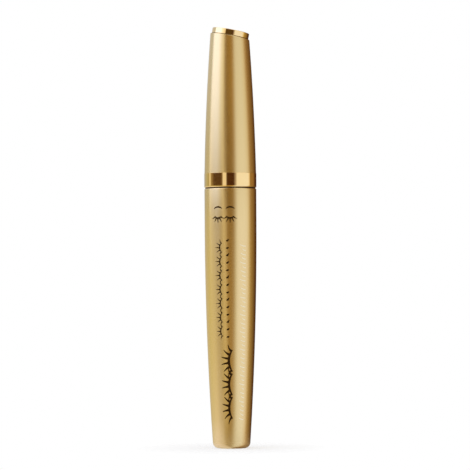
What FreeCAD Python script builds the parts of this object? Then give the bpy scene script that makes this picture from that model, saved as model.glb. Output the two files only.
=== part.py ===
"""A slim mascara tube with a screw cap, modelled as it comes apart on a bench.

The bottle is a drawn gold sleeve round a plastic vessel with a threaded neck, a wiper and the
product. The cap is a gold shell with a polished collar ring and a polished slanted end plug, and
holds a threaded liner, a steel weight and the wand: rod, twisted wire and bristles.

Millimetres. +Z is up along the tube, the origin is the middle of the base, and the slanted top is
high towards -X.
"""
import FreeCAD
import Part
import math
import os

# Bottle outline: a cylinder that leans in below BAND_LOW_Z along one large arc
BODY_R = 8.0
BAND_LOW_Z = 70.0
BODY_ARC_R = 1062.0
BOTTLE_TOP_Z = 79.9
BOTTLE_CORNER_R = 2.5
BOTTLE_SHOULDER_R = 0.3

# Drawn metal sleeve of the bottle
SLEEVE_WALL = 0.45
SLEEVE_BASE = 0.75
SLEEVE_MOUTH_R = 6.9
BASE_DISH_R = 2.3
BASE_DISH_DEPTH = 0.3
LABEL_R = 2.1
LABEL_THICK = 0.1

# Plastic vessel inside the sleeve
VESSEL_GAP = 0.05
VESSEL_WALL = 1.0
VESSEL_FLOOR = 1.2
VESSEL_EDGE_R = 0.25
RESERVOIR_CORNER_R = 1.0
SHOULDER_THICK = 1.6
SHOULDER_SLOPE_Z = 2.4

# Neck and its screw thread: one start, right-handed
NECK_TOP_Z = 94.0
NECK_ROOT_R = 5.15
NECK_CREST_R = 5.75
NECK_BORE_R = 4.25
NECK_BEAD_R = 5.75
NECK_BEAD_Z = 81.6
NECK_BEAD_HALF = 0.5
LEAD = 3.6
RIDGE_BASE = 1.25
RIDGE_TIP = 0.7
NECK_RIDGE_Z = 85.5
NECK_RIDGE_TURNS = 1.25
CAP_RIDGE_Z = 85.75
CAP_RIDGE_TURNS = 0.9
FLANK_GAP = 0.1
SINK = 0.15

# Wiper pushed into the neck
WIPER_FLANGE_R = 5.05
WIPER_FLANGE = 0.6
WIPER_OUTER_R = 4.2
WIPER_BORE_R = 3.35
WIPER_STRAIGHT_Z = 84.0
WIPER_LIP_Z = 79.4
WIPER_LIP = 0.9

# Wand
ROD_R = 2.0
ROD_GAP = 0.05
ROD_LOW_Z = 37.5
ROD_TOP_Z = 102.0
ROD_BEAD_R = 2.35
ROD_BEAD_Z = 99.2
WIRE_R = 0.75
WIRE_TIP_Z = 9.0
WIRE_GRIP = 7.0
BRUSH_LOW_Z = 10.2
BRUSH_HIGH_Z = 36.2
BRUSH_MAX_R = 3.75
BRUSH_TIP_R = 2.35

# Product: a lining that leaves the middle free for the brush
FORMULA_TOP_Z = 71.0
FORMULA_GAP = 0.1
CORE_R = BRUSH_MAX_R + 0.3
CORE_LOW_Z = WIRE_TIP_Z - 1.5

# Cap outline: leans in from CAP_LOW_Z to a cut that slopes down towards +X
CAP_LOW_Z = 84.55
CAP_LOW_R = 7.97
CAP_LEAN = 0.02
CAP_ARC_R = 810.0
CAP_WALL = 0.45
RIM_Z = 126.9
RIM_TILT = 10.5
RIM_ROUND = 0.2

# Polished collar ring under the cap shell
RING_LOW_Z = 80.2
RING_R = 8.04
RING_BORE_R = 7.0
RING_LIP_R = 0.2
SKIRT_R = 7.36
SKIRT_TOP_Z = 90.0

# Polished end plug in the slanted cut
PLUG_THICK = 2.05
PLUG_INSET = 0.3
PLUG_ROUND = 0.15
PLUG_CROWN_R = 70.0
SPIGOT_DEPTH = 4.0
SPIGOT_GAP = 0.03

# Threaded liner inside the cap
LINER_LOW_Z = 81.0
LINER_R = 6.95
LINER_ROOT_R = 6.3
LINER_CREST_R = 5.8
LINER_STEP_Z = 97.0
WEB_LOW_Z = 95.4
WEB_THICK = 1.6
BOSS_R = 3.3
BOSS_TOP_Z = 104.0
CUP_R = 6.0
CUP_BORE_R = 5.4
CUP_TOP_Z = 114.5

# Sealing washer and weight
WASHER_R = 5.6
WASHER_BORE_R = 2.1
WEIGHT_GAP = 0.06
WEIGHT_TOP_Z = 113.2
WEIGHT_BEVEL = 0.6

UP = FreeCAD.Vector(0, 0, 1)
ORIGIN = FreeCAD.Vector(0, 0, 0)


def place(r, z):
    """A point of a turned outline: r from the axis, z up it."""
    return FreeCAD.Vector(r, 0, z)


def turned(outline):
    """Solid of revolution. An outline item is (r, z), or (r, z, mid_r, mid_z) for an arc to (r, z)."""
    edges = []
    here = place(*outline[0])
    for step in outline[1:] + outline[:1]:
        there = place(*step[:2])
        if len(step) == 4:
            edges.append(Part.Arc(here, place(*step[2:]), there).toShape())
        else:
            edges.append(Part.LineSegment(here, there).toShape())
        here = there
    return Part.Face(Part.Wire(edges)).revolve(ORIGIN, UP, 360)


def tube(outer_r, inner_r, low_z, high_z):
    """Plain ring between two heights."""
    return turned([(inner_r, low_z), (outer_r, low_z), (outer_r, high_z), (inner_r, high_z)])


def disc(radius, low_z, high_z):
    """Plain round bar between two heights."""
    return Part.makeCylinder(radius, high_z - low_z, place(0, low_z), UP)


def rounded_rim(solid, radius, r, z):
    """Fillet the circular edge of a turned solid at (r, z)."""
    rim = [e for e in solid.Edges if on_circle(e, r, z)]
    return solid.makeFillet(radius, rim)


def on_circle(edge, r, z):
    """True for an edge all round the axis at radius r and height z."""
    box = edge.BoundBox
    return abs(box.ZMin - z) + abs(box.ZMax - z) + abs(box.XMax - r) < 0.01


def body_radius(z):
    """Outer radius of the bottle."""
    below = max(0.0, BAND_LOW_Z - z)
    return BODY_R - BODY_ARC_R + math.sqrt(BODY_ARC_R**2 - below**2)


def cap_radius(z):
    """Outer radius of the cap shell."""
    above = z - CAP_LOW_Z
    return CAP_LOW_R - CAP_LEAN * above - CAP_ARC_R + math.sqrt(CAP_ARC_R**2 - above**2)


def body_form(inset, low_z, high_z, corner_r, shoulder_r=0.0):
    """Solid of the bottle's outline, moved inwards by inset, with rounded ends."""
    low_r = body_radius(low_z) - inset
    band_r = BODY_R - inset
    mid_z = (low_z + BAND_LOW_Z) / 2
    mid_r = body_radius(mid_z) - inset
    form = turned([
        (0, low_z),
        (low_r, low_z),
        (band_r, BAND_LOW_Z, mid_r, mid_z),
        (band_r, high_z),
        (0, high_z),
    ])
    form = rounded_rim(form, corner_r, low_r, low_z)
    if shoulder_r:
        form = rounded_rim(form, shoulder_r, band_r, high_z)
    return form


def cap_form(inset, low_z, high_z):
    """Solid of the cap's outline, moved inwards by inset."""
    mid_z = (low_z + high_z) / 2
    return turned([
        (0, low_z),
        (cap_radius(low_z) - inset, low_z),
        (cap_radius(high_z) - inset, high_z, cap_radius(mid_z) - inset, mid_z),
        (0, high_z),
    ])


def below_slant(height):
    """Everything below the slanted plane that crosses the axis at this height."""
    side = 2 * RIM_Z
    block = Part.makeBox(side, side, side, FreeCAD.Vector(-side / 2, -side / 2, -side))
    block.rotate(ORIGIN, FreeCAD.Vector(0, 1, 0), RIM_TILT)
    block.translate(place(0, height))
    return block


def ridge(root_r, crest_r, start_z, turns, start_deg):
    """One turn or so of screw thread: a helical ridge from root_r to crest_r."""
    sink = math.copysign(SINK, crest_r - root_r)
    slope = (RIDGE_BASE - RIDGE_TIP) / 2 / abs(crest_r - root_r)
    foot = RIDGE_BASE / 2 + abs(sink) * slope
    corners = [
        place(root_r - sink, start_z - foot),
        place(crest_r, start_z - RIDGE_TIP / 2),
        place(crest_r, start_z + RIDGE_TIP / 2),
        place(root_r - sink, start_z + foot),
    ]
    helix = Part.makeHelix(LEAD, LEAD * turns, (root_r + crest_r) / 2)
    helix.translate(place(0, start_z))
    section = Part.makePolygon(corners + corners[:1])
    swept = Part.Wire(helix.Edges).makePipeShell([section], True, True)
    swept.rotate(ORIGIN, UP, start_deg)
    return swept


def make_bottle_shell():
    """Drawn sleeve, closed at the base, its rim rolled in over the vessel's shoulder."""
    shell = body_form(0, 0, BOTTLE_TOP_Z, BOTTLE_CORNER_R, BOTTLE_SHOULDER_R)
    hollow = body_form(
        SLEEVE_WALL, SLEEVE_BASE, BOTTLE_TOP_Z - SLEEVE_WALL, BOTTLE_CORNER_R - SLEEVE_WALL
    )
    mouth = disc(SLEEVE_MOUTH_R, BOTTLE_TOP_Z - 2 * SLEEVE_WALL, BOTTLE_TOP_Z + 1)
    dish = disc(BASE_DISH_R, -1, BASE_DISH_DEPTH)
    return shell.cut(hollow).cut(mouth).cut(dish)


def make_base_label():
    """Blank round sticker in the dish of the base."""
    return disc(LABEL_R, BASE_DISH_DEPTH - LABEL_THICK, BASE_DISH_DEPTH)


def make_inner_bottle():
    """Vessel with a threaded neck, open at the top."""
    inset = SLEEVE_WALL + VESSEL_GAP
    low_z = SLEEVE_BASE + VESSEL_GAP
    high_z = BOTTLE_TOP_Z - SLEEVE_WALL - VESSEL_GAP
    vessel = body_form(inset, low_z, high_z, BOTTLE_CORNER_R - inset, VESSEL_EDGE_R)
    neck = disc(NECK_ROOT_R, high_z - 1, NECK_TOP_Z)
    bead = turned([
        (NECK_ROOT_R - SINK, NECK_BEAD_Z - NECK_BEAD_HALF),
        (NECK_ROOT_R, NECK_BEAD_Z - NECK_BEAD_HALF),
        (NECK_ROOT_R, NECK_BEAD_Z + NECK_BEAD_HALF, NECK_BEAD_R, NECK_BEAD_Z),
        (NECK_ROOT_R - SINK, NECK_BEAD_Z + NECK_BEAD_HALF),
    ])
    reservoir = reservoir_form(0, high_z - SHOULDER_THICK)
    bore = disc(NECK_BORE_R, high_z - 2 * SHOULDER_THICK, NECK_TOP_Z + 1)
    thread = ridge(NECK_ROOT_R, NECK_CREST_R, NECK_RIDGE_Z, NECK_RIDGE_TURNS, 0)
    return vessel.fuse([neck, bead, thread]).cut(reservoir).cut(bore)


def reservoir_form(gap, top_z):
    """The space inside the vessel, shrunk by gap, with a sloped roof up to the neck."""
    inset = SLEEVE_WALL + VESSEL_GAP + VESSEL_WALL + gap
    low_z = SLEEVE_BASE + VESSEL_GAP + VESSEL_FLOOR + gap
    space = body_form(inset, low_z, top_z, RESERVOIR_CORNER_R)
    roof_z = top_z - SHOULDER_SLOPE_Z
    roof = turned([
        (BODY_R - inset, roof_z),
        (BODY_R, roof_z),
        (BODY_R, top_z + 1),
        (NECK_BORE_R, top_z + 1),
        (NECK_BORE_R, top_z),
    ])
    return space.cut(roof)


def make_wiper():
    """Soft insert: a flange on the neck, a sleeve in its bore and a lip that strips the rod."""
    orifice_r = ROD_R + ROD_GAP
    flange_top = NECK_TOP_Z + WIPER_FLANGE
    return turned([
        (orifice_r, WIPER_LIP_Z),
        (orifice_r + 0.35, WIPER_LIP_Z),
        (WIPER_OUTER_R, WIPER_STRAIGHT_Z - 0.6),
        (WIPER_OUTER_R, NECK_TOP_Z),
        (WIPER_FLANGE_R, NECK_TOP_Z),
        (WIPER_FLANGE_R, flange_top),
        (WIPER_BORE_R + 0.4, flange_top),
        (WIPER_BORE_R, flange_top - 1.0),
        (WIPER_BORE_R, WIPER_STRAIGHT_Z),
        (orifice_r, WIPER_LIP_Z + WIPER_LIP),
    ])


def make_formula():
    """Product inside the vessel, with the middle left free for the wand."""
    product = reservoir_form(FORMULA_GAP, BOTTLE_TOP_Z - 2)
    above = disc(2 * BODY_R, FORMULA_TOP_Z, NECK_TOP_Z)
    core = rounded_rim(disc(CORE_R, CORE_LOW_Z, FORMULA_TOP_Z + 1), 1.5, CORE_R, CORE_LOW_Z)
    return product.cut(above).cut(core)


def make_cap_shell():
    """Tapered shell, open at both ends, cut on a slant at the top."""
    top_z = RIM_Z + BODY_R
    solid = cap_form(0, CAP_LOW_Z, top_z).common(below_slant(RIM_Z))
    rims = [e for e in solid.Edges if e.BoundBox.ZMin > RIM_Z - 3 and e.BoundBox.XLength > 5]
    solid = solid.makeFillet(RIM_ROUND, rims)
    return solid.cut(cap_form(CAP_WALL, CAP_LOW_Z - 1, top_z))


def make_collar_ring():
    """Polished band under the cap shell, with a skirt that goes up inside it."""
    band = rounded_rim(tube(RING_R, RING_BORE_R, RING_LOW_Z, CAP_LOW_Z), RING_LIP_R, RING_R, RING_LOW_Z)
    skirt = tube(SKIRT_R, RING_BORE_R, CAP_LOW_Z - 1, SKIRT_TOP_Z)
    return band.fuse(skirt).removeSplitter()


def make_end_plug():
    """Polished head set square on the slanted rim, slightly crowned, with a spigot in the shell."""
    top_z = RIM_Z + BODY_R
    tilt = math.radians(RIM_TILT)
    normal = FreeCAD.Vector(math.sin(tilt), 0, math.cos(tilt))
    seat = cap_form(CAP_WALL / 2 + PLUG_INSET / 2, RIM_Z - BODY_R, top_z).common(below_slant(RIM_Z))
    outline = max(seat.Faces, key=lambda face: face.CenterOfMass.z)
    head = outline.extrude(normal * PLUG_THICK)
    centre = place(0, RIM_Z) + normal * (PLUG_THICK - PLUG_CROWN_R)
    head = head.common(Part.makeSphere(PLUG_CROWN_R, centre))
    rims = [e for e in head.Edges if e.CenterOfMass.z > RIM_Z + PLUG_THICK / 2 and e.BoundBox.XLength > 5]
    head = head.makeFillet(PLUG_ROUND, rims)
    spigot = cap_form(CAP_WALL + SPIGOT_GAP, RIM_Z - BODY_R, top_z)
    spigot = spigot.common(below_slant(RIM_Z + 0.2)).cut(below_slant(RIM_Z - SPIGOT_DEPTH))
    return head.fuse(spigot).removeSplitter()


def make_inner_cap():
    """Liner with the screw thread below, a boss for the rod and a cup for the weight above."""
    skirt = tube(LINER_R, LINER_ROOT_R, LINER_LOW_Z, LINER_STEP_Z)
    web = disc(LINER_R, WEB_LOW_Z, WEB_LOW_Z + WEB_THICK)
    boss = disc(BOSS_R, WEB_LOW_Z, BOSS_TOP_Z)
    cup = tube(CUP_R, CUP_BORE_R, WEB_LOW_Z, CUP_TOP_Z)
    drop = RIDGE_BASE / 2 + RIDGE_TIP / 2 + FLANK_GAP
    start_deg = (CAP_RIDGE_Z + drop - NECK_RIDGE_Z) / LEAD * 360
    thread = ridge(LINER_ROOT_R, LINER_CREST_R, CAP_RIDGE_Z, CAP_RIDGE_TURNS, start_deg)
    return skirt.fuse([web, boss, cup, thread]).cut(rod_form(0.02))


def make_sealing_washer():
    """Soft washer between the wiper's flange and the liner's web."""
    return tube(WASHER_R, WASHER_BORE_R, NECK_TOP_Z + WIPER_FLANGE, WEB_LOW_Z)


def make_cap_weight():
    """Steel slug in the liner's cup, with bevelled ends."""
    radius = CUP_BORE_R - WEIGHT_GAP
    return turned([
        (0, BOSS_TOP_Z),
        (radius - WEIGHT_BEVEL, BOSS_TOP_Z),
        (radius, BOSS_TOP_Z + WEIGHT_BEVEL),
        (radius, WEIGHT_TOP_Z - WEIGHT_BEVEL),
        (radius - WEIGHT_BEVEL, WEIGHT_TOP_Z),
        (0, WEIGHT_TOP_Z),
    ])


def rod_form(gap):
    """The rod's outline, grown by gap: a straight stem with a snap bead near its top."""
    radius = ROD_R + gap
    bead_r = ROD_BEAD_R + gap
    return turned([
        (0, ROD_LOW_Z - gap),
        (radius - 0.6, ROD_LOW_Z - gap),
        (radius, ROD_LOW_Z + 1.4),
        (radius, ROD_BEAD_Z - 0.6),
        (bead_r, ROD_BEAD_Z - 0.25),
        (bead_r, ROD_BEAD_Z + 0.25),
        (radius, ROD_BEAD_Z + 0.6),
        (radius, ROD_TOP_Z + gap),
        (0, ROD_TOP_Z + gap),
    ])


def make_wand_rod():
    """Stem of the wand, bored at its lower end for the wire."""
    socket = disc(WIRE_R, ROD_LOW_Z - 1, ROD_LOW_Z + WIRE_GRIP)
    return rod_form(0).cut(socket)


def make_brush_wire():
    """The twisted wire pair as one round core with a domed tip."""
    wire = disc(WIRE_R, WIRE_TIP_Z, ROD_LOW_Z + WIRE_GRIP)
    return rounded_rim(wire, 0.6, WIRE_R, WIRE_TIP_Z)


def make_bristles():
    """The space that the bristles fill: full near the rod, tapering to the tip."""
    belly_z = (2 * BRUSH_HIGH_Z + BRUSH_LOW_Z) / 3
    return turned([
        (WIRE_R, BRUSH_LOW_Z),
        (BRUSH_TIP_R - 0.5, BRUSH_LOW_Z),
        (BRUSH_TIP_R, BRUSH_LOW_Z + 1.2),
        (BRUSH_MAX_R, belly_z, 3.3, (BRUSH_LOW_Z + belly_z) / 2),
        (BRUSH_MAX_R - 0.2, BRUSH_HIGH_Z - 1.5),
        (BRUSH_MAX_R - 1.2, BRUSH_HIGH_Z),
        (WIRE_R, BRUSH_HIGH_Z),
    ])


PIECES = {
    "bottle_shell": make_bottle_shell,
    "base_label": make_base_label,
    "inner_bottle": make_inner_bottle,
    "wiper": make_wiper,
    "formula": make_formula,
    "cap_shell": make_cap_shell,
    "collar_ring": make_collar_ring,
    "end_plug": make_end_plug,
    "inner_cap": make_inner_cap,
    "sealing_washer": make_sealing_washer,
    "cap_weight": make_cap_weight,
    "wand_rod": make_wand_rod,
    "brush_wire": make_brush_wire,
    "bristles": make_bristles,
}

os.makedirs("parts", exist_ok=True)
for name, make in PIECES.items():
    piece = make()
    box = piece.BoundBox
    piece.exportStep(f"parts/{name}.step")
    print(
        f"{name}: {len(piece.Solids)} solid, valid {piece.isValid()}, volume {piece.Volume:.1f}, "
        f"r {box.XMax:.2f}, z {box.ZMin:.2f} to {box.ZMax:.2f}"
    )
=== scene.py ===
"""A slim gold mascara tube in a plain studio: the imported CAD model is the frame, and every piece
that shows is turned again here at full smoothness, with its own material.

Outlines are in millimetres, as on a drawing, and meshes in metres. A turned outline is a closed
list of (radius, height, corner radius). Angles go round from +X towards +Y. A long straight wall
has extra points near its corners, so that its smooth shading stays flat up to them.
"""
import math
import random

import bmesh
import bpy
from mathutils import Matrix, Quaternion, Vector


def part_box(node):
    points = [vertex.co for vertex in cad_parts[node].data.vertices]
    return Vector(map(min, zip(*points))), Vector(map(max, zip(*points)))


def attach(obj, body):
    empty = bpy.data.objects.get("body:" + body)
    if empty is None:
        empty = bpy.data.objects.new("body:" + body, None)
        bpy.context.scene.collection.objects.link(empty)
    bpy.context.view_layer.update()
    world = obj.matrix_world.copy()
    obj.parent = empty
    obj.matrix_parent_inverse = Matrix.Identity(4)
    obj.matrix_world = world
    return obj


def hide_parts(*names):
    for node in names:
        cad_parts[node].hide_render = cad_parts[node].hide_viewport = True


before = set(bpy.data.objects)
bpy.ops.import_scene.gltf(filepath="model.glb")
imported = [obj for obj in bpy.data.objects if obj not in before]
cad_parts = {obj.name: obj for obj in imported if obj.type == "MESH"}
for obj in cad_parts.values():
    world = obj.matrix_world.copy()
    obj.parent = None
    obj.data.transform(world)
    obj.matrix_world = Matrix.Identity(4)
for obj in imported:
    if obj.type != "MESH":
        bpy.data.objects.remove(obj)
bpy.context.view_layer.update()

MM = 0.001
TURN = 2 * math.pi
ROUND_STEPS = 6
SMOOTH_SEGMENTS = 256
THREAD_SEGMENTS = 192
PLAIN_SEGMENTS = 128
HIDDEN_SEGMENTS = 96
SHARP_ANGLE = math.radians(40)
MERGE_DISTANCE = 1e-7


# ---------------------------------------------------------------- sizes from the frame


def low_z(node):
    """Lowest point of a CAD node, in mm."""
    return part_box(node)[0].z / MM


def high_z(node):
    """Highest point of a CAD node, in mm."""
    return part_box(node)[1].z / MM


def outer_r(node):
    """Largest radius of a CAD node, in mm."""
    low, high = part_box(node)
    return (high.y - low.y) / 2 / MM


# The bottle is straight from BAND_LOW_Z up, and tapers below it on one long arc. Its walls are
# cut into short lengths from TAPER_LOW_Z up.
BODY_R = outer_r("bottle_shell")
BAND_LOW_Z = 70.0
TAPER_LOW_Z = 9.0
BODY_ARC_R = 1062.0
BOTTLE_TOP_Z = high_z("bottle_shell")
SLEEVE_WALL = 0.45
HEEL_R = 2.5

# The cap leans in on a long arc to its rim, which is cut on a slant. The slant fades in over
# RIM_BLEND, and is whole from RIM_FLAT below the rim. The last is the height of the gap under
# the plug's head, where a painted shadow line sits.
CAP_LOW_Z = low_z("cap_shell")
CAP_LOW_R = outer_r("cap_shell")
CAP_LEAN = 0.02
CAP_ARC_R = 810.0
CAP_WALL = 0.45
RIM_Z = 126.9
RIM_TILT = math.radians(10.5)
RIM_SLOPE = math.tan(RIM_TILT)
RIM_BLEND = 25.0
RIM_FLAT = 2.0
JOINT_GAP = 0.16

# The screw: a one-start ridge on the neck, and one on the liner that runs under it with
# FLANK_GAP between their flanks. RIDGE_FADE is in turns.
LEAD = 3.6
RIDGE_BASE = 1.25
RIDGE_TIP = 0.7
RIDGE_SOFT = 0.08
RIDGE_FADE = 0.07
FLANK_GAP = 0.1
NECK_RIDGE_Z, NECK_RIDGE_TURNS = 85.5, 1.25
LINER_RIDGE_Z, LINER_RIDGE_TURNS = 85.75, 0.9


def body_radius(z):
    """Outer radius of the bottle at a height."""
    below = max(0.0, BAND_LOW_Z - z)
    return BODY_R - BODY_ARC_R + math.sqrt(BODY_ARC_R**2 - below**2)


def cap_radius(z):
    """Outer radius of the cap shell at a height."""
    above = z - CAP_LOW_Z
    return CAP_LOW_R - CAP_LEAN * above - CAP_ARC_R + math.sqrt(CAP_ARC_R**2 - above**2)


def steps(start, end, count):
    """count + 1 evenly spaced values from start to end."""
    return [start + (end - start) * i / count for i in range(count + 1)]


def smooth(x, low, high):
    """0 below low, 1 above high, with a soft change between."""
    t = min(1.0, max(0.0, (x - low) / (high - low)))
    return t * t * (3 - 2 * t)


# ---------------------------------------------------------------- mesh making


def rounded(corners):
    """The outline's points, with an arc in place of each corner that has a radius. A corner may
    have its own number of steps as a fourth value."""
    points = []
    count = len(corners)
    for i, (r, z, radius, *finer) in enumerate(corners):
        here = Vector((r, z))
        before = Vector(corners[i - 1][:2]) - here
        after = Vector(corners[(i + 1) % count][:2]) - here
        if not radius:
            points.append((r, z))
            continue
        a, b = before.normalized(), after.normalized()
        half = a.angle(b) / 2
        reach = min(radius / math.tan(half), before.length * 0.49, after.length * 0.49)
        radius = reach * math.tan(half)
        centre = here + (a + b).normalized() * radius / math.sin(half)
        start, end = here + a * reach - centre, here + b * reach - centre
        swing = start.angle_signed(end)
        for t in steps(0, -swing, finer[0] if finer else ROUND_STEPS):
            turn = Vector((
                start.x * math.cos(t) - start.y * math.sin(t),
                start.x * math.sin(t) + start.y * math.cos(t),
            ))
            points.append(tuple(centre + turn))
    return points


def new_mesh(name, verts, faces):
    """A mesh with smooth faces, sharp edges only at real corners, and normals that face out."""
    mesh = bpy.data.meshes.new(name)
    mesh.from_pydata(verts, [], faces)
    work = bmesh.new()
    work.from_mesh(mesh)
    bmesh.ops.remove_doubles(work, verts=work.verts, dist=MERGE_DISTANCE)
    bmesh.ops.recalc_face_normals(work, faces=work.faces)
    for face in work.faces:
        face.smooth = True
    for edge in work.edges:
        edge.smooth = len(edge.link_faces) != 2 or edge.calc_face_angle() < SHARP_ANGLE
    work.to_mesh(mesh)
    work.free()
    return mesh


def around(r, z, angle):
    """A point of an outline, turned about the axis."""
    return Vector((r * math.cos(angle), r * math.sin(angle), z))


def near(a, b):
    """Whether two lengths in mm are the same, give or take rounding."""
    return abs(a - b) < 1e-3


def turned(name, points, segments=HIDDEN_SEGMENTS, shape=around):
    """Turn a closed outline of (r, z) about the axis; shape(r, z, angle) places each point."""
    verts, faces = [], []
    rows = len(points)
    for i in range(segments):
        angle = TURN * i / segments
        verts += [shape(r, z, angle) * MM for r, z in points]
    for i in range(segments):
        here, there = i * rows, (i + 1) % segments * rows
        for j in range(rows):
            k = (j + 1) % rows
            if points[j][0] or points[k][0]:
                faces.append((here + j, there + j, there + k, here + k))
    return new_mesh(name, verts, faces)


def add(name, mesh, body, slot, material, *nodes):
    """Show a mesh as a piece that rides on a body and stands for the CAD nodes named."""
    obj = bpy.data.objects.new(name, mesh)
    bpy.context.scene.collection.objects.link(obj)
    mesh.materials.append(material)
    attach(obj, body)
    if nodes:
        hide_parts(*nodes)
    return obj


# ---------------------------------------------------------------- materials


def add_node(tree, kind, inputs=(), **settings):
    """Add a shader node; inputs maps a socket to a value or to another node's output."""
    made = tree.nodes.new("ShaderNode" + kind)
    for key, value in settings.items():
        setattr(made, key, value)
    for key, value in dict(inputs).items():
        if isinstance(value, bpy.types.NodeSocket):
            tree.links.new(value, made.inputs[key])
        else:
            made.inputs[key].default_value = value
    return made


def add_mix(tree, factor, first, second):
    """A colour between two, each given as a colour or as another node's output."""
    return add_node(tree, "Mix", {0: factor, 6: first, 7: second}, data_type="RGBA").outputs[2]


class Shader:
    """A new material with a Principled shader, and short ways to add nodes to it."""

    def __init__(self, name, **values):
        self.material = bpy.data.materials.new(name)
        self.material.use_nodes = True
        self.tree = self.material.node_tree
        self.base = self.tree.nodes["Principled BSDF"]
        for key, value in values.items():
            self.base.inputs[key.replace("_", " ")].default_value = value

    def node(self, kind, inputs=(), **settings):
        """Add a node, as add_node does."""
        return add_node(self.tree, kind, inputs, **settings)

    def drive(self, socket, output):
        """Link an output to a socket of the Principled shader."""
        self.tree.links.new(output, self.base.inputs[socket])

    def noise(self, per_mm, stretch=(1, 1, 1), detail=2.0, rough=0.5):
        """Noise with about per_mm features to a millimetre, stretched along each axis."""
        place = self.node("TexCoord").outputs["Object"]
        scale = [1 / MM / s for s in stretch]
        mapped = self.node("Mapping", {"Vector": place, "Scale": scale}).outputs[0]
        inputs = {"Vector": mapped, "Scale": per_mm, "Detail": detail, "Roughness": rough}
        return self.node("TexNoise", inputs).outputs[0]

    def ranged(self, value, low, high, start=0.3, end=0.7):
        """Map a value from start..end onto low..high. The usual start and end suit noise."""
        inputs = {"Value": value, "From Min": start, "From Max": end, "To Min": low, "To Max": high}
        return self.node("MapRange", inputs).outputs[0]

    def tint(self, factor, first, second):
        """Colour the base between two tones, by a factor."""
        self.drive("Base Color", add_mix(self.tree, factor, (*first, 1), (*second, 1)))

    def mottle(self, first, second, per_mm, *noise, **more):
        """Colour the base unevenly between two tones, by noise."""
        self.tint(self.ranged(self.noise(per_mm, *noise, **more), 0, 1), first, second)

    def bump(self, height, depth_mm, strength=1.0):
        """Drive the normal by a height, depth_mm deep."""
        inputs = {"Height": height, "Distance": depth_mm * MM, "Strength": strength}
        self.drive("Normal", self.node("Bump", inputs).outputs[0])


def satin_gold():
    """Anodised aluminium with a very fine satin grain and faint drawing lines up the tube."""
    s = Shader("satin_gold", Metallic=1.0)
    s.mottle((0.800, 0.612, 0.305), (0.820, 0.634, 0.325), 0.05, (1, 1, 6))
    s.drive("Roughness", s.ranged(s.noise(2.2, (1, 1, 14), 2.0), 0.24, 0.265))
    s.bump(s.noise(9.0, (1, 1, 5), 2.0), 0.0006)
    return s.material


def polished_gold():
    """Anodised aluminium polished to a mirror, with the faintest handling marks."""
    s = Shader("polished_gold", Metallic=1.0)
    s.mottle((0.885, 0.655, 0.315), (0.910, 0.685, 0.345), 0.2)
    s.drive("Roughness", s.ranged(s.noise(1.1, (1, 1, 0.4), 6.0, 0.7), 0.035, 0.09, 0.4, 0.75))
    s.bump(s.noise(0.35, (1, 1, 1), 1.0), 0.004)
    return s.material


def plastic(name, dark, light, rough, grain_mm=0.004, **values):
    """Moulded plastic: slightly uneven colour and gloss, and the grain of the mould."""
    s = Shader(name, **values)
    s.mottle(dark, light, 0.25, detail=3.0)
    s.drive("Roughness", s.ranged(s.noise(1.6, detail=3.0), rough - 0.05, rough + 0.05))
    s.bump(s.noise(5.0, detail=2.0), grain_mm)
    return s.material


def wet_formula():
    """The product: black, wet and uneven."""
    s = Shader("wet_formula", Coat_Weight=0.6, Coat_Roughness=0.08)
    s.mottle((0.004, 0.004, 0.005), (0.02, 0.017, 0.016), 0.8)
    s.drive("Roughness", s.ranged(s.noise(2.0), 0.18, 0.38))
    s.bump(s.noise(1.3, detail=4.0), 0.06)
    return s.material


def wand_black():
    """Black moulded stem, smeared with product towards the brush."""
    s = Shader("wand_black")
    place = s.node("TexCoord").outputs["Object"]
    height = s.node("SeparateXYZ", {0: place}).outputs[2]
    low, smeared, clean = low_z("wand_rod"), 12, 34
    smear = s.ranged(height, 1.0, 0.0, (low + smeared) * MM, (low + clean) * MM)
    blotch = s.ranged(s.noise(0.7, (1, 1, 2.5), 4.0), 0.0, 1.0, 0.42, 0.6)
    wet = s.node("Math", {0: smear, 1: blotch}, operation="MULTIPLY").outputs[0]
    s.tint(wet, (0.013, 0.013, 0.014), (0.004, 0.004, 0.004))
    s.drive("Roughness", s.ranged(wet, 0.33, 0.14, 0.0, 1.0))
    s.bump(wet, 0.03)
    return s.material


def brush_steel():
    """Bright twisted wire with product left in its grooves."""
    s = Shader("brush_steel")
    stain = s.ranged(s.noise(1.1, (1, 1, 1.5), 4.0), 0.0, 1.0, 0.45, 0.55)
    s.tint(stain, (0.50, 0.49, 0.47), (0.01, 0.01, 0.01))
    s.drive("Metallic", s.ranged(stain, 1.0, 0.0, 0.0, 1.0))
    s.drive("Roughness", s.ranged(s.noise(6.0, (1, 1, 8)), 0.22, 0.36))
    return s.material


def slug_steel():
    """Zinc-plated steel with turning marks."""
    s = Shader("slug_steel", Metallic=1.0)
    s.mottle((0.46, 0.47, 0.48), (0.56, 0.56, 0.55), 0.5)
    s.drive("Roughness", s.ranged(s.noise(3.0, (6, 6, 1)), 0.25, 0.42))
    s.bump(s.noise(4.0, (8, 8, 1)), 0.01)
    return s.material


def bristle_nylon():
    """Black nylon fibre, glossy where product coats it."""
    s = Shader("bristle_nylon")
    coat = s.ranged(s.noise(0.5, detail=3.0), 0, 1)
    s.tint(coat, (0.022, 0.020, 0.020), (0.006, 0.006, 0.006))
    s.drive("Roughness", s.ranged(coat, 0.42, 0.20, 0.0, 1.0))
    return s.material


def ink(name, dark, light, rough, **values):
    """Screen-printed ink: a thin even film, a little worn."""
    s = Shader(name, **values)
    s.mottle(dark, light, 1.2, detail=4.0)
    s.drive("Roughness", s.ranged(s.noise(3.0), rough - 0.05, rough + 0.08))
    s.bump(s.noise(6.0), 0.002)
    return s.material


# ---------------------------------------------------------------- the bottle


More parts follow.
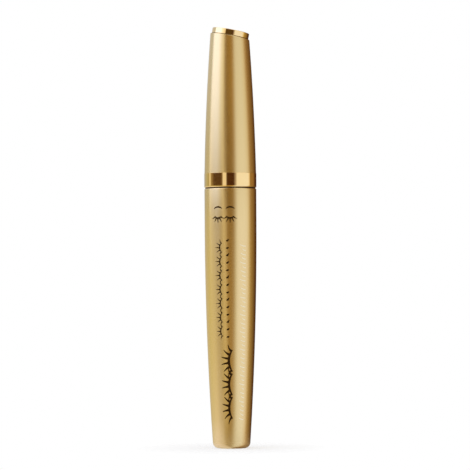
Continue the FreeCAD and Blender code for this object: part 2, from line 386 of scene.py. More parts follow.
def make_sleeve(material):
    """Gold sleeve: rolled rim, long taper, rounded heel and the dish in its base."""
    wall, top = SLEEVE_WALL, BOTTLE_TOP_Z
    base_thick, dish_r, dish_z, mouth_r = 0.75, 2.3, 0.3, 6.9
    shoulder_round, shoulder_steps, lip_round = 0.3, 9, 0.12
    heights = steps(TAPER_LOW_Z, BAND_LOW_Z, 52)
    outside = [(body_radius(z), z, 0) for z in heights]
    inside = [(body_radius(z) - wall, z, 0) for z in reversed(heights)]
    outline = rounded([
        (0, dish_z, 0),
        (dish_r - 0.1, dish_z, 0.1),
        (dish_r, 0, lip_round),
        (body_radius(0), 0, HEEL_R),
        *outside,
        (BODY_R, top, shoulder_round, shoulder_steps),
        (mouth_r, top, lip_round),
        (mouth_r, top - wall, lip_round),
        (BODY_R - wall, top - wall, 0),
        *inside,
        (body_radius(base_thick) - wall, base_thick, HEEL_R - wall),
        (0, base_thick, 0),
    ])
    mesh = turned("sleeve", outline, SMOOTH_SEGMENTS)
    add("bottle_sleeve", mesh, "bottle", "satin_gold", material, "bottle_shell")


def thread_height(z, angle, start_z, turns, start_angle=0.0):
    """0 in the groove and 1 on the crest of a one-start ridge that fades in and out."""
    best = 0.0
    for whole_turns in range(-1, 4):
        t = (angle - start_angle) / TURN + whole_turns
        fade = min(t, turns - t) / RIDGE_FADE
        if fade <= 0:
            continue
        off = abs(z - start_z - LEAD * t)
        flank = 1 - smooth(off, RIDGE_TIP / 2 - RIDGE_SOFT, RIDGE_BASE / 2 + RIDGE_SOFT)
        best = max(best, flank * smooth(fade, 0, 1))
    return best


def make_vessel(material):
    """Plastic vessel: the neck, its thread and locating bead, and the reservoir."""
    wall, gap = 1.0, 0.05
    floor_thick, shoulder_thick, slope_z = 1.2, 1.6, 4.0
    skin = SLEEVE_WALL + gap
    low, top = low_z("inner_bottle"), high_z("inner_bottle")
    shoulder = BOTTLE_TOP_Z - SLEEVE_WALL - gap
    root, crest, bore = 5.15, 5.75, 4.25
    bead_z, bead_half = 81.6, 0.5
    heights = steps(TAPER_LOW_Z, BAND_LOW_Z, 30)
    neck = [(root, z, 0) for z in steps(bead_z + bead_half + 0.3, top - 1.2, 120)]
    outline = rounded([
        (0, low, 0),
        (body_radius(low) - skin, low, HEEL_R - skin),
        *[(body_radius(z) - skin, z, 0) for z in heights],
        (BODY_R - skin, shoulder, 0.25),
        (root, shoulder, 0.15),
        (root, bead_z - bead_half, 0),
        (crest, bead_z, 0.3),
        (root, bead_z + bead_half, 0),
        *neck,
        (root, top, 0.25),
        (bore, top, 0.15),
        (bore, shoulder - shoulder_thick, 0.4),
        (BODY_R - skin - wall, shoulder - slope_z, 0.8),
        *[(body_radius(z) - skin - wall, z, 0) for z in reversed(heights)],
        (body_radius(low + floor_thick) - skin - wall, low + floor_thick, 1.0),
        (0, low + floor_thick, 0),
    ])

    def threaded(r, z, angle):
        if near(r, root) and z > bead_z:
            r += (crest - root) * thread_height(z, angle, NECK_RIDGE_Z, NECK_RIDGE_TURNS)
        return around(r, z, angle)

    mesh = turned("vessel", outline, THREAD_SEGMENTS, threaded)
    add("vessel_with_neck", mesh, "bottle", "vessel_plastic", material, "inner_bottle")


def make_wiper(material):
    """Soft wiper: a rounded flange, a sleeve with a flared mouth and the stripping lip."""
    top, low = high_z("wiper"), low_z("wiper")
    flange_r, body_r, bore_r, lip_r = outer_r("wiper"), 4.2, 3.35, 2.05
    flange_z, outer_cone_z, inner_cone_z = top - 0.6, 83.4, 84.0
    lip_wide, lip_high, flare_wide, flare_deep = 0.35, 0.9, 0.4, 1.0
    outline = rounded([
        (lip_r, low, 0.1),
        (lip_r + lip_wide, low, 0.1),
        (body_r, outer_cone_z, 0.5),
        (body_r, flange_z, 0),
        (flange_r, flange_z, 0.12),
        (flange_r, top, 0.25),
        (bore_r + flare_wide, top, 0.2),
        (bore_r, top - flare_deep, 0.5),
        (bore_r, inner_cone_z, 0.8),
        (lip_r, low + lip_high, 0.15),
    ])
    mesh = turned("wiper_insert", outline, PLAIN_SEGMENTS)
    add("wiper_insert", mesh, "bottle", "wiper_plastic", material, "wiper")


def make_formula(material):
    """Product lining the vessel, its top surface uneven where the brush has passed."""
    low, top = low_z("formula"), high_z("formula")
    skin, core_r, core_z = 1.53, 4.05, 7.5
    sink, broad_wave, fine_wave = 0.5, 0.28, 0.2
    heights = steps(TAPER_LOW_Z, BAND_LOW_Z, 24)
    surface = steps(BODY_R - skin - 0.1, core_r + 0.1, 8)
    outline = rounded([
        (0, low, 0),
        (body_radius(low) - skin, low, 1.0),
        *[(body_radius(z) - skin, z, 0) for z in heights],
        *[(r, top, 0) for r in surface],
        (core_r, top - 1.0, 0),
        *[(core_r, z, 0) for z in steps(top - 2.0, core_z + 4, 30)],
        (core_r, core_z, 1.5),
        (0, core_z, 0),
    ])

    def sagged(r, z, angle):
        if near(z, top):
            z -= sink + broad_wave * math.sin(3 * angle + 1.1 * r)
            z -= fine_wave * math.sin(5 * angle - r)
        return around(r, z, angle)

    mesh = turned("product", outline, HIDDEN_SEGMENTS, sagged)
    add("product", mesh, "bottle", "formula", material, "formula")


def make_label(material):
    """Blank round shade sticker in the base's dish."""
    low, high, radius = low_z("base_label"), high_z("base_label"), outer_r("base_label")
    bevel_wide, bevel_high = 0.05, 0.03
    rings = steps(0, radius - bevel_wide, 12)
    outline = [(r, low) for r in rings] + [(radius, low + bevel_high), (radius, high), (0, high)]
    mesh = turned("shade_sticker", outline, HIDDEN_SEGMENTS)
    add("shade_sticker", mesh, "bottle", "label_film", material, "base_label")


# ---------------------------------------------------------------- the printed ornament


class Print:
    """Strokes of ink on the bottle, from sink under its skin to film over it, in mm. A point is
    (across, z) in mm, across from the middle of the front."""

    film = 0.02
    sink = 0.01

    def __init__(self):
        self.verts = []
        self.faces = []

    def on_bottle(self, across, z, lift):
        """A point on the bottle's skin, in metres."""
        angle = -TURN / 4 + across / BODY_R
        return around(body_radius(z) + lift, z, angle) * MM

    def stroke(self, path, widths):
        """A ribbon of ink along a path, with a width at each point."""
        start = len(self.verts)
        for i, (x, z) in enumerate(path):
            before, after = path[max(i - 1, 0)], path[min(i + 1, len(path) - 1)]
            along = Vector((after[0] - before[0], after[1] - before[1])).normalized()
            side = Vector((-along.y, along.x)) * widths[i] / 2
            for sign, lift in ((-1, -self.sink), (-1, self.film), (1, self.film), (1, -self.sink)):
                self.verts.append(self.on_bottle(x + sign * side.x, z + sign * side.y, lift))
        last = start + 4 * (len(path) - 1)
        for a in range(start, last, 4):
            for j in range(4):
                k = (j + 1) % 4
                self.faces.append((a + j, a + k, a + 4 + k, a + 4 + j))
        self.faces.append((start, start + 3, start + 2, start + 1))
        self.faces.append((last, last + 1, last + 2, last + 3))

    def arc(self, centre, radius, spread, facing, width):
        """A stroke on an arc about a centre, thinner at its ends."""
        x, z = centre
        path, widths = [], []
        for t in steps(-1, 1, 28):
            angle = facing + spread * t
            path.append((x + radius * math.cos(angle), z + radius * math.sin(angle)))
            widths.append(width * (1.0 - 0.65 * t * t))
        self.stroke(path, widths)

    def eye(self, centre, radius, spread, facing, lashes, reach, width):
        """A closed eye: a lid on an arc about a centre and curved lashes that fan out from it."""
        self.arc(centre, radius, spread, facing, width)
        x, z = centre
        for t in steps(-0.86, 0.86, lashes - 1):
            angle = facing + spread * t
            length = reach * (1.0 - 0.25 * t * t)
            path, widths = [], []
            for u in steps(0, 1, 10):
                r, turn = radius + length * u, angle + 0.16 * t * u * u
                path.append((x + r * math.cos(turn), z + r * math.sin(turn)))
                widths.append(width * (1.0 - 0.75 * u))
            self.stroke(path, widths)

    def finish(self, name, slot, material):
        """Show the strokes as one piece on the bottle."""
        add(name, new_mesh(name, self.verts, self.faces), "bottle", slot, material)


def make_dark_print(material):
    """Closed eyes: a pair under the ring, a column of small ones up the tube beside a column of
    leaves, and a bold row below."""
    inks = Print()
    down, up, left = -TURN / 4, TURN / 4, TURN / 2
    pair = dict(radius=1.35, spread=math.radians(54), lashes=5, reach=1.5, width=0.50)
    brow = dict(radius=1.95, spread=math.radians(44), width=0.50)
    small = dict(radius=1.8, spread=math.radians(55), lashes=5, reach=1.5, width=0.42)
    bold = dict(radius=4.9, spread=math.radians(42), lashes=6, reach=2.7, width=0.86)
    for across in (-4.0, -0.1):
        inks.eye((across, 72.0), facing=down, **pair)
        inks.arc((across, 72.1), facing=up, **brow)
    for z in steps(36.0, 61.6, 6):
        inks.eye((-1.7, z), facing=left, **small)
    for i, z in enumerate(steps(34.2, 63.6, 13)):
        tip = 0.3 + 0.25 * (i % 3)
        inks.stroke([(-1.45, z), (-1.0, z + 0.1), (-0.55, z + tip)], [0.24, 0.66, 0.22])
    for z in steps(12.6, 27.0, 2):
        inks.eye((4.1, z), facing=left, **bold)
    inks.finish("dark_print", "satin_gold", material)


def make_cream_print(material):
    """Fine cream lashes in a row beside the dark eyes."""
    inks = Print()
    root_across, lift, reaches = 4.9, 0.5, (2.0, 1.3, 1.7, 1.1)
    root_width, thinning = 0.30, 0.16
    along = steps(0, 1, 6)
    for i, z in enumerate(steps(9.0, 62.0, 40)):
        reach = reaches[i % len(reaches)]
        path = [(root_across - reach * t, z + lift * t * t) for t in along]
        inks.stroke(path, [root_width - thinning * t for t in along])
    inks.finish("cream_print", "satin_gold", material)


# ---------------------------------------------------------------- the cap


def slanted(r, z, angle, share=1.0):
    """Lean a point of the cap with the slanted cut, by a share of the whole slant."""
    down = RIM_SLOPE * r * math.cos(angle) * share
    return around(r + cap_radius(z - down) - cap_radius(z), z - down, angle)


def make_cap_skin(material):
    """Gold cap shell, its rim cut on the slant and slightly rounded."""
    heights = steps(CAP_LOW_Z + 0.08, RIM_Z - 0.35, 64)
    outline = rounded([
        (cap_radius(CAP_LOW_Z), CAP_LOW_Z, 0.03),
        *[(cap_radius(z), z, 0) for z in heights],
        (cap_radius(RIM_Z), RIM_Z, 0.22),
        (cap_radius(RIM_Z) - CAP_WALL, RIM_Z, 0.08),
        *[(cap_radius(z) - CAP_WALL, z, 0) for z in reversed(heights)],
        (cap_radius(CAP_LOW_Z) - CAP_WALL, CAP_LOW_Z, 0.1),
    ])
    whole_z = RIM_Z - RIM_FLAT

    def cut(r, z, angle):
        return slanted(r, z, angle, smooth(z, whole_z - RIM_BLEND, whole_z))

    mesh = turned("cap_skin", outline, SMOOTH_SEGMENTS, cut)
    add("cap_skin", mesh, "cap", "satin_gold", material, "cap_shell")


def make_top_plug(material):
    """Polished head set square on the slanted rim, faintly crowned, with a spigot in the shell."""
    thick, inset, depth, crown_r = 2.05, 0.375, 4.0, 70.0
    head_r = cap_radius(RIM_Z) - inset
    spigot_r, neck_r = cap_radius(RIM_Z) - 0.49, head_r - 0.3
    foot_z, edge_z = RIM_Z + JOINT_GAP, RIM_Z + thick - head_r**2 / 2 / crown_r
    face = [(r, RIM_Z + thick - r * r / 2 / crown_r, 0) for r in steps(0, head_r - 0.25, 24)]
    outline = rounded([
        (0, RIM_Z - depth, 0),
        (spigot_r, RIM_Z - depth, 0.3),
        (spigot_r, RIM_Z, 0),
        (neck_r, RIM_Z, 0),
        (neck_r, foot_z, 0),
        (head_r, foot_z, 0.03),
        *[(head_r, z, 0) for z in steps(foot_z + 0.08, edge_z - 0.2, 6)],
        (head_r, edge_z, 0.15),
        *reversed(face),
    ])

    def set_square(r, z, angle):
        rise = max(0.0, z - RIM_Z)
        foot = slanted(r, z - rise, angle)
        return foot + Vector((math.sin(RIM_TILT), 0, math.cos(RIM_TILT))) * rise

    mesh = turned("top_plug", outline, SMOOTH_SEGMENTS, set_square)
    add("top_plug", mesh, "cap", "polished_gold", material, "end_plug")


def make_seam_shadow_line(material):
    """Painted shadow: a dark line in the joint between the slanted rim and the plug's head."""
    inner, outer = cap_radius(RIM_Z) - 0.7, cap_radius(RIM_Z) - 0.37
    low, high = RIM_Z - 0.02, RIM_Z + JOINT_GAP + 0.01
    outline = rounded([(inner, low, 0), (outer, low, 0.03), (outer, high, 0.03), (inner, high, 0)])
    mesh = turned("seam_shadow_line", outline, SMOOTH_SEGMENTS, slanted)
    add("seam_shadow_line", mesh, "cap", "polished_gold", material)


def make_collar(material):
    """Polished band with a rounded lower lip, and its skirt inside the shell."""
    low, top = low_z("collar_ring"), high_z("collar_ring")
    radius, bore, skirt = outer_r("collar_ring"), 7.0, 7.36
    outline = rounded([
        (bore, low, 0.15),
        (radius, low, 0.2),
        *[(radius, z, 0) for z in steps(low + 0.45, CAP_LOW_Z - 0.06, 12)],
        (radius, CAP_LOW_Z, 0.03),
        (skirt, CAP_LOW_Z, 0),
        (skirt, top, 0.1),
        (bore, top, 0.1),
    ])
    mesh = turned("collar_band", outline, SMOOTH_SEGMENTS)
    add("collar_band", mesh, "cap", "polished_gold", material, "collar_ring")


def make_seam_shadow_ring(material):
    """Painted shadow: a dark ring set back in the joint between the collar and the bottle."""
    inner, outer = 7.3, 7.76
    low, high = BOTTLE_TOP_Z + 0.06, low_z("collar_ring") + 0.05
    outline = rounded([(inner, low, 0), (outer, low, 0.03), (outer, high, 0), (inner, high, 0)])
    mesh = turned("seam_shadow_ring", outline, SMOOTH_SEGMENTS)
    add("seam_shadow_ring", mesh, "cap", "polished_gold", material)


def make_liner(material):
    """White liner: the screw thread, the web, the boss for the rod and the cup for the weight."""
    low, top = low_z("inner_cap"), high_z("inner_cap")
    radius, root, crest = outer_r("inner_cap"), 6.3, 5.8
    web_low, step_z, boss_r, boss_top, cup_r, cup_bore = 95.4, 97.0, 3.3, 104.0, 6.0, 5.4
    rod_r, rod_top = 2.02, 102.02
    groove = [(root, z, 0) for z in steps(web_low - 0.6, low + 1.0, 120)]
    outline = rounded([
        (root, low, 0.2),
        (radius, low, 0.15),
        (radius, step_z, 0.3),
        (cup_r, step_z, 0),
        (cup_r, top, 0.15),
        (cup_bore, top, 0.15),
        (cup_bore, step_z, 0.2),
        (boss_r, step_z, 0.3),
        (boss_r, boss_top, 0.2),
        (0, boss_top, 0),
        (0, rod_top, 0),
        (rod_r, rod_top, 0),
        (rod_r, web_low, 0.1),
        (root, web_low, 0),
        *groove,
    ])
    drop = (RIDGE_BASE + RIDGE_TIP) / 2 + FLANK_GAP
    start = TURN * (LINER_RIDGE_Z + drop - NECK_RIDGE_Z) / LEAD

    def threaded(r, z, angle):
        if near(r, root) and low < z < web_low:
            height = thread_height(z, angle, LINER_RIDGE_Z, LINER_RIDGE_TURNS, start)
            r += (crest - root) * height
        return around(r, z, angle)

    mesh = turned("liner", outline, THREAD_SEGMENTS, threaded)
    add("cap_liner", mesh, "cap", "liner_plastic", material, "inner_cap")


def make_washer(material):
    """Soft sealing washer round the rod."""
    low, top = low_z("sealing_washer"), high_z("sealing_washer")
    radius, bore = outer_r("sealing_washer"), 2.1
    outline = rounded([
        (bore, low, 0.15),
        (radius, low, 0.2),
        (radius, top, 0.2),
        (bore, top, 0.15),
    ])
    mesh = turned("seal", outline, PLAIN_SEGMENTS)
    add("seal_disc", mesh, "washer", "washer_rubber", material, "sealing_washer")


def make_weight(material):
    """Turned steel slug with bevelled ends and a centre mark."""
    low, top, radius = low_z("cap_weight"), high_z("cap_weight"), outer_r("cap_weight")
    bevel, mark_r, mark_deep = 0.6, 0.7, 0.5
    outline = rounded([
        (0, low, 0),
        (radius - bevel, low, 0.1),
        (radius, low + bevel, 0.1),
        (radius, top - bevel, 0.1),
        (radius - bevel, top, 0.1),
        (mark_r, top, 0),
        (0, top - mark_deep, 0),
    ])
    add("weight_slug", turned("slug", outline), "weight", "weight_steel", material, "cap_weight")


# ---------------------------------------------------------------- the wand

WIRE_LOW_Z = low_z("brush_wire")
BRUSH_LOW_Z = low_z("bristles")
BRUSH_HIGH_Z = high_z("bristles")
BRUSH_R = outer_r("bristles")
STRAND_R = 0.36
TWIST = 2.6


def make_stem(material):
    """Moulded rod: a rounded nose crimped on the wire, and the snap bead inside the liner."""
    low, top = low_z("wand_rod"), high_z("wand_rod")
    rod_r, bead_r, bead_z, socket_r, socket_deep = 2.0, outer_r("wand_rod"), 99.2, 0.76, 7
    nose_wide, nose_high, bead_foot, bead_flat = 0.6, 1.4, 0.6, 0.25
    outline = rounded([
        (0, low + socket_deep, 0),
        (socket_r, low + socket_deep, 0),
        (socket_r, low, 0.1),
        (rod_r - nose_wide, low, 0.25),
        (rod_r, low + nose_high, 0.8),
        *[(rod_r, z, 0) for z in steps(low + 3, bead_z - 1, 40)],
        (rod_r, bead_z - bead_foot, 0),
        (bead_r, bead_z - bead_flat, 0.1),
        (bead_r, bead_z + bead_flat, 0.1),
        (rod_r, bead_z + bead_foot, 0),
        (rod_r, top, 0.2),
        (0, top, 0),
    ])
    mesh = turned("stem", outline, PLAIN_SEGMENTS)
    add("wand_stem", mesh, "cap", "rod_plastic", material, "wand_rod")


def tube_along(path, radii, sides, verts, faces):
    """Add a closed round tube along a path of vectors, with a radius at each, all in mm."""
    start = len(verts)
    side = None
    for i, point in enumerate(path):
        along = (path[min(i + 1, len(path) - 1)] - path[max(i - 1, 0)]).normalized()
        if side is None:
            side = along.orthogonal().normalized()
        side = (side - along * side.dot(along)).normalized()
        up = along.cross(side)
        for j in range(sides):
            angle = TURN * j / sides
            out = side * math.cos(angle) + up * math.sin(angle)
            verts.append((point + out * radii[i]) * MM)
    for i in range(len(path) - 1):
        a = start + i * sides
        for j in range(sides):
            k = (j + 1) % sides
            faces.append((a + j, a + k, a + sides + k, a + sides + j))
    faces.append(tuple(range(start + sides - 1, start - 1, -1)))
    end = start + (len(path) - 1) * sides
    faces.append(tuple(range(end, end + sides)))


def strand_point(z, side):
    """The middle of one strand of the twisted wire at a height."""
    return around(STRAND_R, z, TURN * (z - WIRE_LOW_Z) / TWIST + side * math.pi)


def make_wire(material):
    """One wire folded in two and twisted: up one strand, with the fold at the tip."""
    bend_z = WIRE_LOW_Z + 2 * STRAND_R
    top = high_z("brush_wire") - 0.1
    down = [strand_point(z, 0) for z in steps(top, bend_z, 300)]
    up = [strand_point(z, 1) for z in steps(bend_z, top, 300)]
    first, last = down[-1], up[0]
    fold = []
    for t in steps(0, math.pi, 12)[1:-1]:
        across = first.lerp(last, (1 - math.cos(t)) / 2)
        fold.append(across - Vector((0, 0, STRAND_R * math.sin(t))))
    path = down + fold + up
    verts, faces = [], []
    tube_along(path, [STRAND_R] * len(path), 10, verts, faces)
    mesh = new_mesh("twisted_wire", verts, faces)
    add("twisted_wire", mesh, "cap", "wire_steel", material, "brush_wire")


def brush_radius(z):
    """Reach of the bristles at a height: fullest above the middle, tapering to the tip, and
    rounded off at both ends."""
    t = (z - BRUSH_LOW_Z) / (BRUSH_HIGH_Z - BRUSH_LOW_Z)
    taper = 0.60 + 0.40 * smooth(t, -0.25, 0.66)
    ends = min(1.0, 0.72 + 0.28 * smooth(t, 0, 0.045), 0.70 + 0.30 * smooth(1 - t, 0, 0.06))
    return BRUSH_R * taper * ends


def make_bristles(material):
    """Nylon fibres held in the twist, each with a small bend and a little clumped by product."""
    rng = random.Random(7)
    verts, faces = [], []
    count, end_gap, root_r, least_gap = 3400, 0.15, 0.25, 0.05
    shares, radii = (0.0, 0.34, 0.68, 1.0), (0.055, 0.055, 0.05, 0.032)
    for i in range(count):
        t = (i + rng.random()) / count
        z = BRUSH_LOW_Z + end_gap + (BRUSH_HIGH_Z - BRUSH_LOW_Z - 2 * end_gap) * t
        side = i % 2
        angle = TURN * (z - WIRE_LOW_Z) / TWIST + TURN / 4 + side * math.pi + rng.gauss(0, 0.62)
        reach = brush_radius(z) * rng.uniform(0.93, 0.995)
        clump = 0.18 * math.sin(9 * angle + 2.1 * z)
        droop = rng.gauss(0, 0.16) + clump
        sweep = rng.gauss(0, 0.05) + 0.10
        path = []
        for s in shares:
            height = min(max(z + droop * s * s, BRUSH_LOW_Z + least_gap), BRUSH_HIGH_Z - least_gap)
            path.append(around(root_r + (reach - root_r) * s, height, angle + sweep * s * s))
        tube_along(path, radii, 3, verts, faces)
    mesh = new_mesh("brush_bristles", verts, faces)
    add("brush_bristles", mesh, "cap", "bristle_nylon", material, "bristles")


# ---------------------------------------------------------------- stage, light and camera


def make_floor():
    """Plain pale floor that fades into the white round it."""
    reach, rings, sides = 50, 24, 96
    strength, fade = 0.4, 30
    verts = [(0, 0, 0)]
    faces = []
    for i in range(1, rings + 1):
        r = reach * (i / rings) ** 1.5
        verts += [around(r, 0, TURN * j / sides) * MM for j in range(sides)]
    for j in range(sides):
        k = (j + 1) % sides
        faces.append((0, 1 + j, 1 + k))
        for i in range(rings - 1):
            a, b = 1 + i * sides, 1 + (i + 1) * sides
            faces.append((a + j, b + j, b + k, a + k))
    floor = bpy.data.objects.new("floor", new_mesh("floor", verts, faces))
    bpy.context.scene.collection.objects.link(floor)
    s = Shader("pale_floor", Roughness=0.9, Specular_IOR_Level=0.1)
    s.mottle((0.94, 0.935, 0.93), (0.965, 0.96, 0.955), 0.02)
    place = s.node("TexCoord").outputs["Object"]
    distance = s.node("VectorMath", {0: place}, operation="LENGTH").outputs["Value"]
    s.drive("Alpha", s.ranged(distance, strength, 0.0, 0.0, fade * MM))
    floor.data.materials.append(s.material)


# What stands round the tube in the studio, by bearing in degrees: 0 is in front of the tube,
# 90 to its right and -90 to its left. Each stop is (bearing, light). The ring looks level and
# sees EYE_STUDIO sharply; the cap looks up at HIGH_STUDIO, the bottle down at LOW_STUDIO, and
# its heel at FLOOR_STUDIO. A rise is in degrees above level, and each pair of rises is where one
# studio starts to give way to the next and where it has.
SHADE = (0.075, 0.028, 0.010)
LEFT_SHADE = (0.110, 0.055, 0.020)
BROWN = (0.43, 0.255, 0.050)
TAN = (0.64, 0.385, 0.075)
WINDOW = (1.02, 1.04, 1.08)
LOW_WINDOW = (1.00, 1.03, 1.16)
LEFT_BOX = (1.50, 1.68, 2.45)
FLOOR_STUDIO = (
    (-180, (0.90, 0.88, 0.80)), (-106, (1.02, 1.01, 1.22)), (-89, (1.02, 0.97, 1.12)),
    (-74, (0.93, 0.88, 0.94)), (-60, (0.83, 0.77, 0.74)), (-47, (0.75, 0.67, 0.57)),
    (-35, (0.44, 0.34, 0.16)), (-20, (0.36, 0.26, 0.10)), (0, (0.38, 0.29, 0.13)),
    (11, (0.64, 0.60, 0.48)), (23, (0.80, 0.81, 0.82)), (40, (0.88, 0.92, 1.00)),
    (62, (0.93, 0.98, 1.06)), (76, (0.86, 0.80, 0.74)), (89, (0.62, 0.48, 0.34)),
    (106, (0.36, 0.23, 0.11)), (125, (0.22, 0.13, 0.06)), (176, (0.22, 0.14, 0.08)),
    (180, (0.90, 0.88, 0.80)),
)
LOW_STUDIO = (
    (-180, (0.66, 0.62, 0.50)), (-147, (0.68, 0.63, 0.47)), (-115, (0.73, 0.66, 0.31)),
    (-80, (0.71, 0.62, 0.23)), (-66, (0.52, 0.42, 0.12)), (-50, (0.44, 0.34, 0.09)),
    (-38, (0.54, 0.44, 0.16)), (-31, (0.90, 0.76, 0.43)), (-20, (0.90, 0.76, 0.43)),
    (-15, BROWN), (12, BROWN), (22, (0.76, 0.74, 0.58)), (30, LOW_WINDOW), (78, LOW_WINDOW),
    (88, (0.85, 0.73, 0.45)), (97, (0.48, 0.34, 0.10)), (120, (0.26, 0.16, 0.05)),
    (140, SHADE), (175, SHADE), (180, (0.66, 0.62, 0.50)),
)
EYE_STUDIO = (
    (-180, (0.50, 0.50, 0.46)), (-147, (0.52, 0.52, 0.48)), (-123, (0.55, 0.52, 0.30)),
    (-110, (0.46, 0.40, 0.21)), (-107, (0.84, 0.76, 0.56)), (-98, (0.80, 0.72, 0.52)),
    (-94, (0.38, 0.28, 0.13)), (-86, (0.26, 0.17, 0.08)),
    (-76, LEFT_SHADE), (-42, LEFT_SHADE), (-36, (0.26, 0.17, 0.08)), (-32, (0.96, 0.89, 0.76)),
    (-20, (0.96, 0.89, 0.76)), (-15, (0.12, 0.06, 0.022)), (-10, SHADE), (15, SHADE),
    (24, (0.50, 0.42, 0.36)), (31, WINDOW), (86, WINDOW), (93, (0.92, 0.80, 0.60)),
    (99, (0.38, 0.24, 0.085)), (122, (0.32, 0.18, 0.055)), (140, SHADE), (176, SHADE),
    (180, (0.50, 0.50, 0.46)),
)
HIGH_STUDIO = (
    (-180, (0.75, 0.76, 0.80)), (-130, (0.66, 0.68, 0.74)), (-110, (0.62, 0.68, 0.82)),
    (-103, LEFT_BOX), (-62, LEFT_BOX), (-48, (1.22, 1.26, 1.38)), (-36, (1.02, 0.98, 0.88)),
    (-27, (0.74, 0.60, 0.34)),
    (-20, TAN), (14, TAN), (22, (0.70, 0.64, 0.52)), (30, (0.83, 0.82, 0.80)),
    (60, (0.84, 0.86, 0.86)), (80, (0.82, 0.76, 0.62)), (92, (0.50, 0.34, 0.16)),
    (110, (0.30, 0.17, 0.06)), (135, (0.17, 0.09, 0.03)), (176, (0.17, 0.09, 0.03)),
    (180, (0.75, 0.76, 0.80)),
)
TOP_LIGHT = (1.25, 1.25, 1.25)
LOW_RISES = (-12.6, -4.4)
EYE_RISES = (0.9, 2.1)
HIGH_RISES = (3.7, 7.7)
TOP_RISES = (42, 62)

# A dark hood stands in front, with its top edge on a slope, and a dim shade over it.
HOOD = (0.100, 0.060, 0.018)
UPPER_SHADE = (0.24, 0.14, 0.03)
HOOD_BEARINGS = (-29, 20)
HOOD_EDGE = 1
HOOD_FOOT_RISES = (3.6, 4.2)
HOOD_TOP_RISES = (10.0, 9.0)
HOOD_SLOPE = 0.12
SHADE_RISES = (12.5, 17)


def make_world():
    """Soft studio: bands of light and dark round the tube, a light above, and white behind it."""
    world = bpy.data.worlds.new("studio")
    world.use_nodes = True
    bpy.context.scene.world = world
    tree = world.node_tree
    tree.nodes.clear()

    def node(kind, inputs=(), **settings):
        return add_node(tree, kind, inputs, **settings)

    def math_node(operation, *values):
        return node("Math", dict(enumerate(values)), operation=operation).outputs[0]

    def product(first, second):
        return math_node("MULTIPLY", first, second)

    def band(share, stops):
        ramp = node("ValToRGB", {0: share})
        bands = ramp.color_ramp
        while len(bands.elements) < len(stops):
            bands.elements.new(0.5)
        for element, (degrees, colour) in zip(bands.elements, stops):
            element.position = (degrees + 180) / 360
            element.color = (*colour, 1)
        return ramp.outputs[0]

    def soft_step(value, low, high):
        inputs = {"Value": value, "From Min": low, "From Max": high}
        return node("MapRange", inputs, interpolation_type="SMOOTHSTEP").outputs[0]

    def mixed(share, first, second):
        return add_mix(tree, share, first, second)

    x, y, z = node("SeparateXYZ", {0: node("TexCoord").outputs["Generated"]}).outputs
    bearing = math_node("ARCTAN2", x, product(y, -1.0))
    share = math_node("MULTIPLY_ADD", bearing, 1 / TURN, 0.5)
    turn = product(bearing, 360 / TURN)
    rise = product(math_node("ARCSINE", z), 360 / TURN)
    low = mixed(soft_step(rise, *LOW_RISES), band(share, FLOOR_STUDIO), band(share, LOW_STUDIO))
    eye = mixed(soft_step(rise, *EYE_RISES), low, band(share, EYE_STUDIO))
    high = mixed(soft_step(rise, *HIGH_RISES), eye, band(share, HIGH_STUDIO))
    lit = mixed(soft_step(rise, *TOP_RISES), high, (*TOP_LIGHT, 1))

    left, right = HOOD_BEARINGS
    from_left = soft_step(turn, left - HOOD_EDGE, left + HOOD_EDGE)
    to_right = soft_step(turn, right + HOOD_EDGE, right - HOOD_EDGE)
    front = product(from_left, to_right)
    shaded = mixed(product(front, soft_step(rise, *SHADE_RISES)), lit, (*UPPER_SHADE, 1))
    sloped = math_node("MULTIPLY_ADD", turn, HOOD_SLOPE, rise)
    level = product(soft_step(rise, *HOOD_FOOT_RISES), soft_step(sloped, *HOOD_TOP_RISES))
    studio = mixed(product(front, level), shaded, (*HOOD, 1))

    seen = node("LightPath").outputs["Is Camera Ray"]
    colour = mixed(seen, studio, (1, 1, 1, 1))
    background = node("Background", {0: colour, 1: 1.0})
    node("OutputWorld", {0: background.outputs[0]})
    world.cycles.sampling_method = "MANUAL"
    world.cycles.sample_map_resolution = 1024


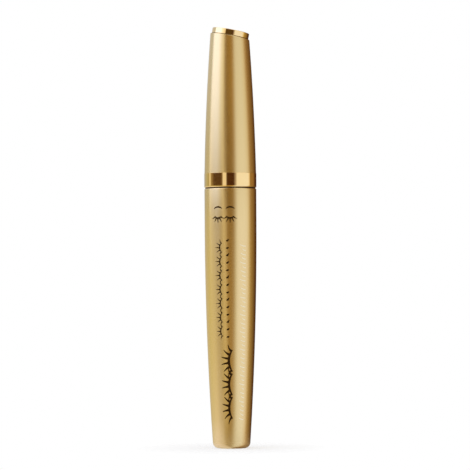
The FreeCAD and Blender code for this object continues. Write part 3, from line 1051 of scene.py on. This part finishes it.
def make_camera():
    """A long lens a little below the middle of the tube, tilted up and rolled a touch."""
    aside, distance, height, aim = 1.36 * MM, 760 * MM, 49 * MM, 65.585 * MM
    roll = math.radians(-0.29)
    data = bpy.data.cameras.new("camera")
    data.lens, data.sensor_width = 188.7, 36
    data.clip_start, data.clip_end = 0.05, 20
    camera = bpy.data.objects.new("camera", data)
    bpy.context.scene.collection.objects.link(camera)
    camera.location = (aside, -distance, height)
    level = Vector((0, distance, aim - height)).to_track_quat("-Z", "Y")
    camera.rotation_mode = "QUATERNION"
    camera.rotation_quaternion = level @ Quaternion((0, 0, 1), roll)
    bpy.context.scene.camera = camera


# ---------------------------------------------------------------- the whole picture

gold, polished = satin_gold(), polished_gold()
natural_pp = plastic("natural_pp", (0.72, 0.70, 0.64), (0.80, 0.78, 0.73), 0.38,
                     Subsurface_Weight=0.15, Subsurface_Scale=2 * MM)
soft_pe = plastic("soft_pe", (0.80, 0.78, 0.73), (0.86, 0.85, 0.81), 0.5,
                  Subsurface_Weight=0.3, Subsurface_Scale=2 * MM)
liner_white = plastic("liner_white", (0.78, 0.77, 0.74), (0.84, 0.83, 0.80), 0.42)
seal_white = plastic("seal_white", (0.74, 0.72, 0.68), (0.80, 0.78, 0.74), 0.55)
label_film = plastic("label_film", (0.84, 0.82, 0.77), (0.88, 0.86, 0.82), 0.6)
# Painted shade: near-black, for the two seam shadow pieces that stand in for the shade in the
# joints.
painted_seam_shade = plastic("painted_seam_shade", (0.030, 0.015, 0.005), (0.045, 0.024, 0.009), 0.55,
                     Specular_IOR_Level=0.1)
dark_ink = ink("dark_ink", (0.034, 0.015, 0.002), (0.048, 0.022, 0.004), 0.55,
               Specular_IOR_Level=0.04)
cream_foil = ink("cream_foil", (0.86, 0.77, 0.54), (0.90, 0.82, 0.60), 0.30, Metallic=1.0)

make_sleeve(gold)
make_vessel(natural_pp)
make_wiper(soft_pe)
make_formula(wet_formula())
make_label(label_film)
make_dark_print(dark_ink)
make_cream_print(cream_foil)

make_cap_skin(gold)
make_top_plug(polished)
make_seam_shadow_line(painted_seam_shade)
make_seam_shadow_ring(painted_seam_shade)
make_collar(polished)
make_liner(liner_white)
make_washer(seal_white)
make_weight(slug_steel())

make_stem(wand_black())
make_wire(brush_steel())
make_bristles(bristle_nylon())

make_floor()
make_world()
make_camera()
bpy.context.scene.view_settings.view_transform = "Standard"
